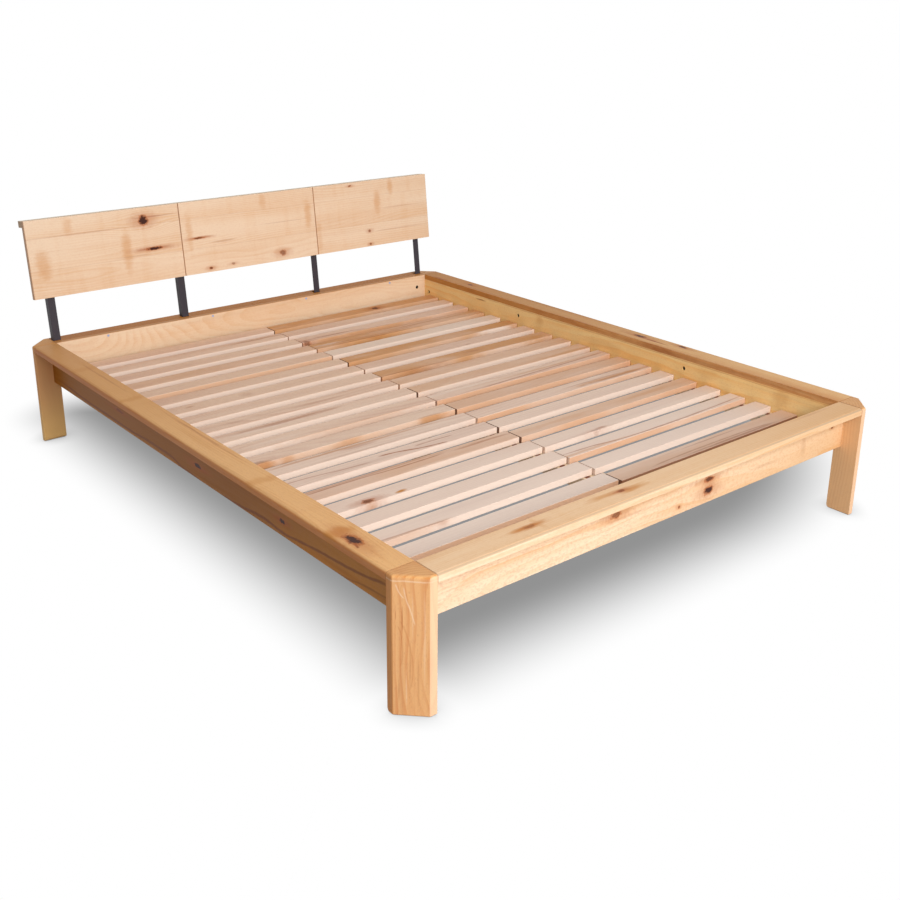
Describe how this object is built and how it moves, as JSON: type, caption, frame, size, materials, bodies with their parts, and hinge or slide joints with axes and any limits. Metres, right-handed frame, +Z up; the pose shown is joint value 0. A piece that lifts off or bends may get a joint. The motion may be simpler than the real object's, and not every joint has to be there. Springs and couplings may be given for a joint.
{
  "type": "double bed",
  "caption": "Low wooden double bed: capped rails, corner legs with a wide flat, two roll-up slat mats and a leaning headboard of wide panels on steel posts.",
  "frame": {"origin": "on the floor, at the centre of the whole bed's outline seen from above", "axes": "+X to the sleeper's right, +Y towards the headboard, +Z up"},
  "size_m": [1.756, 2.1838, 0.7593],
  "materials": {
    "leg_wood": "oiled satin",
    "side_cap_wood": "oiled satin",
    "side_board_wood": "oiled satin",
    "foot_cap_wood": "oiled satin",
    "foot_board_wood": "oiled satin",
    "head_cap_wood": "oiled satin",
    "head_board_wood": "oiled satin",
    "panel_wood": "oiled satin",
    "batten_wood": "oiled satin",
    "beam_wood": "oiled satin",
    "ledge_wood": "oiled satin",
    "slat_wood": "oiled satin",
    "dowel_wood": "oiled satin",
    "tape_webbing": "woven matt",
    "post_steel": "black powder coat",
    "black_screw_steel": "black oxide",
    "zinc_steel": "zinc plated"
  },
  "bodies": {
    "frame": {"barrel_nuts": "zinc_steel", "batten_screws": "zinc_steel", "beam_hangers": "zinc_steel", "cap_screws": "zinc_steel", "cap_studs": "zinc_steel", "centre_beam": "beam_wood", "centre_leg": "leg_wood", "corner_studs": "zinc_steel", "dowels": "dowel_wood", "foot_board": "foot_board_wood", "foot_cap": "foot_cap_wood", "hanger_screws": "zinc_steel", "head_board": "head_board_wood", "head_cap": "head_cap_wood", "headboard_batten": "batten_wood", "headboard_panel_left": "panel_wood", "headboard_panel_middle": "panel_wood", "headboard_panel_right": "panel_wood", "headboard_post_inner_left": "post_steel", "headboard_post_inner_right": "post_steel", "headboard_post_outer_left": "post_steel", "headboard_post_outer_right": "post_steel", "ledge_screws": "zinc_steel", "left_side_board": "side_board_wood", "left_side_cap": "side_cap_wood", "left_slat_ledge": "ledge_wood", "leg_back_left": "leg_wood", "leg_back_right": "leg_wood", "leg_front_left": "leg_wood", "leg_front_right": "leg_wood", "panel_screws": "black_screw_steel", "post_screws": "black_screw_steel", "right_side_board": "side_board_wood", "right_side_cap": "side_cap_wood", "right_slat_ledge": "ledge_wood"},
    "left_mat": {"left_mat_inner_tape": "tape_webbing", "left_mat_outer_tape": "tape_webbing", "left_mat_slats_01_02": "slat_wood", "left_mat_slats_03_04": "slat_wood", "left_mat_slats_05_06": "slat_wood", "left_mat_slats_07_08": "slat_wood", "left_mat_slats_09_10": "slat_wood", "left_mat_slats_11_12": "slat_wood", "left_mat_slats_13_14": "slat_wood", "left_mat_slats_15_16": "slat_wood", "left_mat_slats_17_18": "slat_wood", "left_mat_slats_19_20": "slat_wood"},
    "right_mat": {"right_mat_inner_tape": "tape_webbing", "right_mat_outer_tape": "tape_webbing", "right_mat_slats_01_02": "slat_wood", "right_mat_slats_03_04": "slat_wood", "right_mat_slats_05_06": "slat_wood", "right_mat_slats_07_08": "slat_wood", "right_mat_slats_09_10": "slat_wood", "right_mat_slats_11_12": "slat_wood", "right_mat_slats_13_14": "slat_wood", "right_mat_slats_15_16": "slat_wood", "right_mat_slats_17_18": "slat_wood", "right_mat_slats_19_20": "slat_wood"}
  },
  "joints": [
    {"name": "left_mat_lift", "type": "slide", "parent": "frame", "child": "left_mat", "axis": [0, 0, 1], "range_m": [0, 0.25]},
    {"name": "right_mat_lift", "type": "slide", "parent": "frame", "child": "right_mat", "axis": [0, 0, 1], "range_m": [0, 0.25]}
  ]
}
